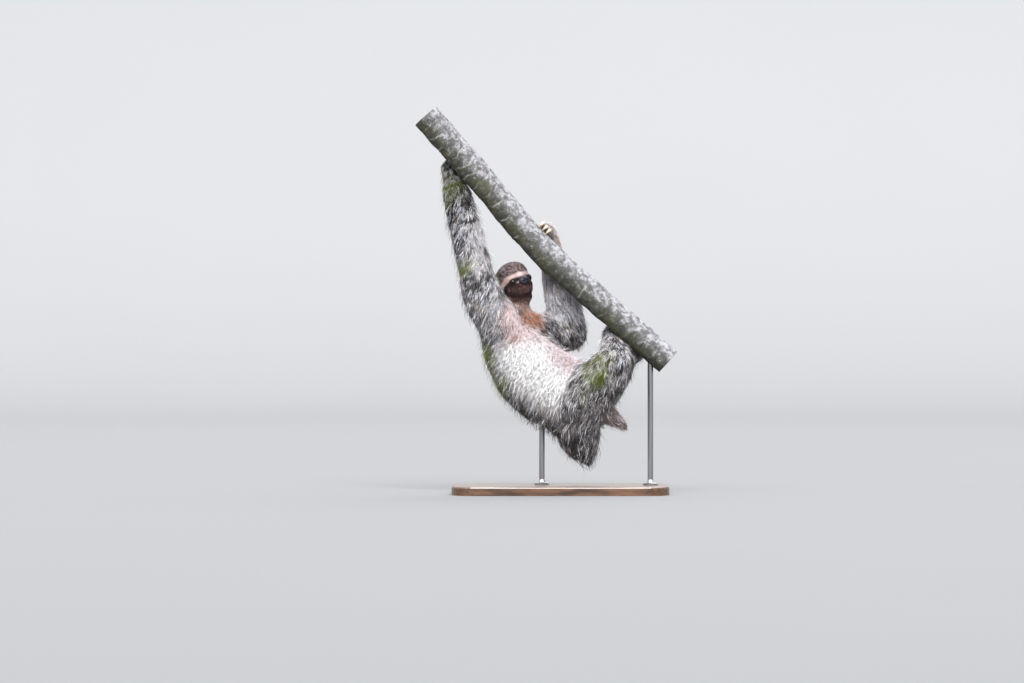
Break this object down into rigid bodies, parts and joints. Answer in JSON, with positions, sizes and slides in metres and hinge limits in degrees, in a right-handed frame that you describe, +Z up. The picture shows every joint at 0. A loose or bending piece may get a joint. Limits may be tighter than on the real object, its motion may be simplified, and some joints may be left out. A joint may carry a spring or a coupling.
{
  "type": "three-toed sloth model on a branch",
  "caption": "Still life-size brown-throated three-toed sloth hanging belly up from a cut length of branch, held over a flat base by slim rods.",
  "frame": {"origin": "middle of the underside of the stand's base, on the surface it stands on", "axes": "+Z up; -Y towards the viewer who sees the animal's right side and belly; +X towards its rump and the branch's lower end"},
  "size_m": [0.6529, 0.3, 0.9678],
  "materials": {
    "coat": "long coarse shaggy hair, grizzled grey-brown, white on the belly, orange-brown on the throat, green algae on limbs and flanks",
    "eye": "wet dark brown eye",
    "nose": "bare blue-black nose leather, slightly moist",
    "claw": "yellowish cream horn with fine lengthwise streaks",
    "bark": "pale grey bark with lichen patches and ring-shaped leaf scars, sawn ends",
    "base": "satin dark-stained wooden stand base with softened edges",
    "steel": "brushed rods with turned collars"
  },
  "bodies": {
    "root": {"claw_foot_left_1": "claw", "claw_foot_left_2": "claw", "claw_foot_left_3": "claw", "claw_foot_right_1": "claw", "claw_foot_right_2": "claw", "claw_foot_right_3": "claw", "claw_hand_left_1": "claw", "claw_hand_left_2": "claw", "claw_hand_left_3": "claw", "claw_hand_right_1": "claw", "claw_hand_right_2": "claw", "claw_hand_right_3": "claw", "eye_left": "eye", "eye_right": "eye", "foot_left": "coat", "foot_right": "coat", "forearm_left": "coat", "forearm_right": "coat", "hand_left": "coat", "hand_right": "coat", "head": "coat", "neck": "coat", "nose": "nose", "perch": "bark", "shank_left": "coat", "shank_right": "coat", "stand_base": "base", "stand_rod_body": "steel", "stand_rod_perch": "steel", "tail": "coat", "thigh_left": "coat", "thigh_right": "coat", "trunk": "coat", "upper_arm_left": "coat", "upper_arm_right": "coat"}
  },
  "joints": []
}
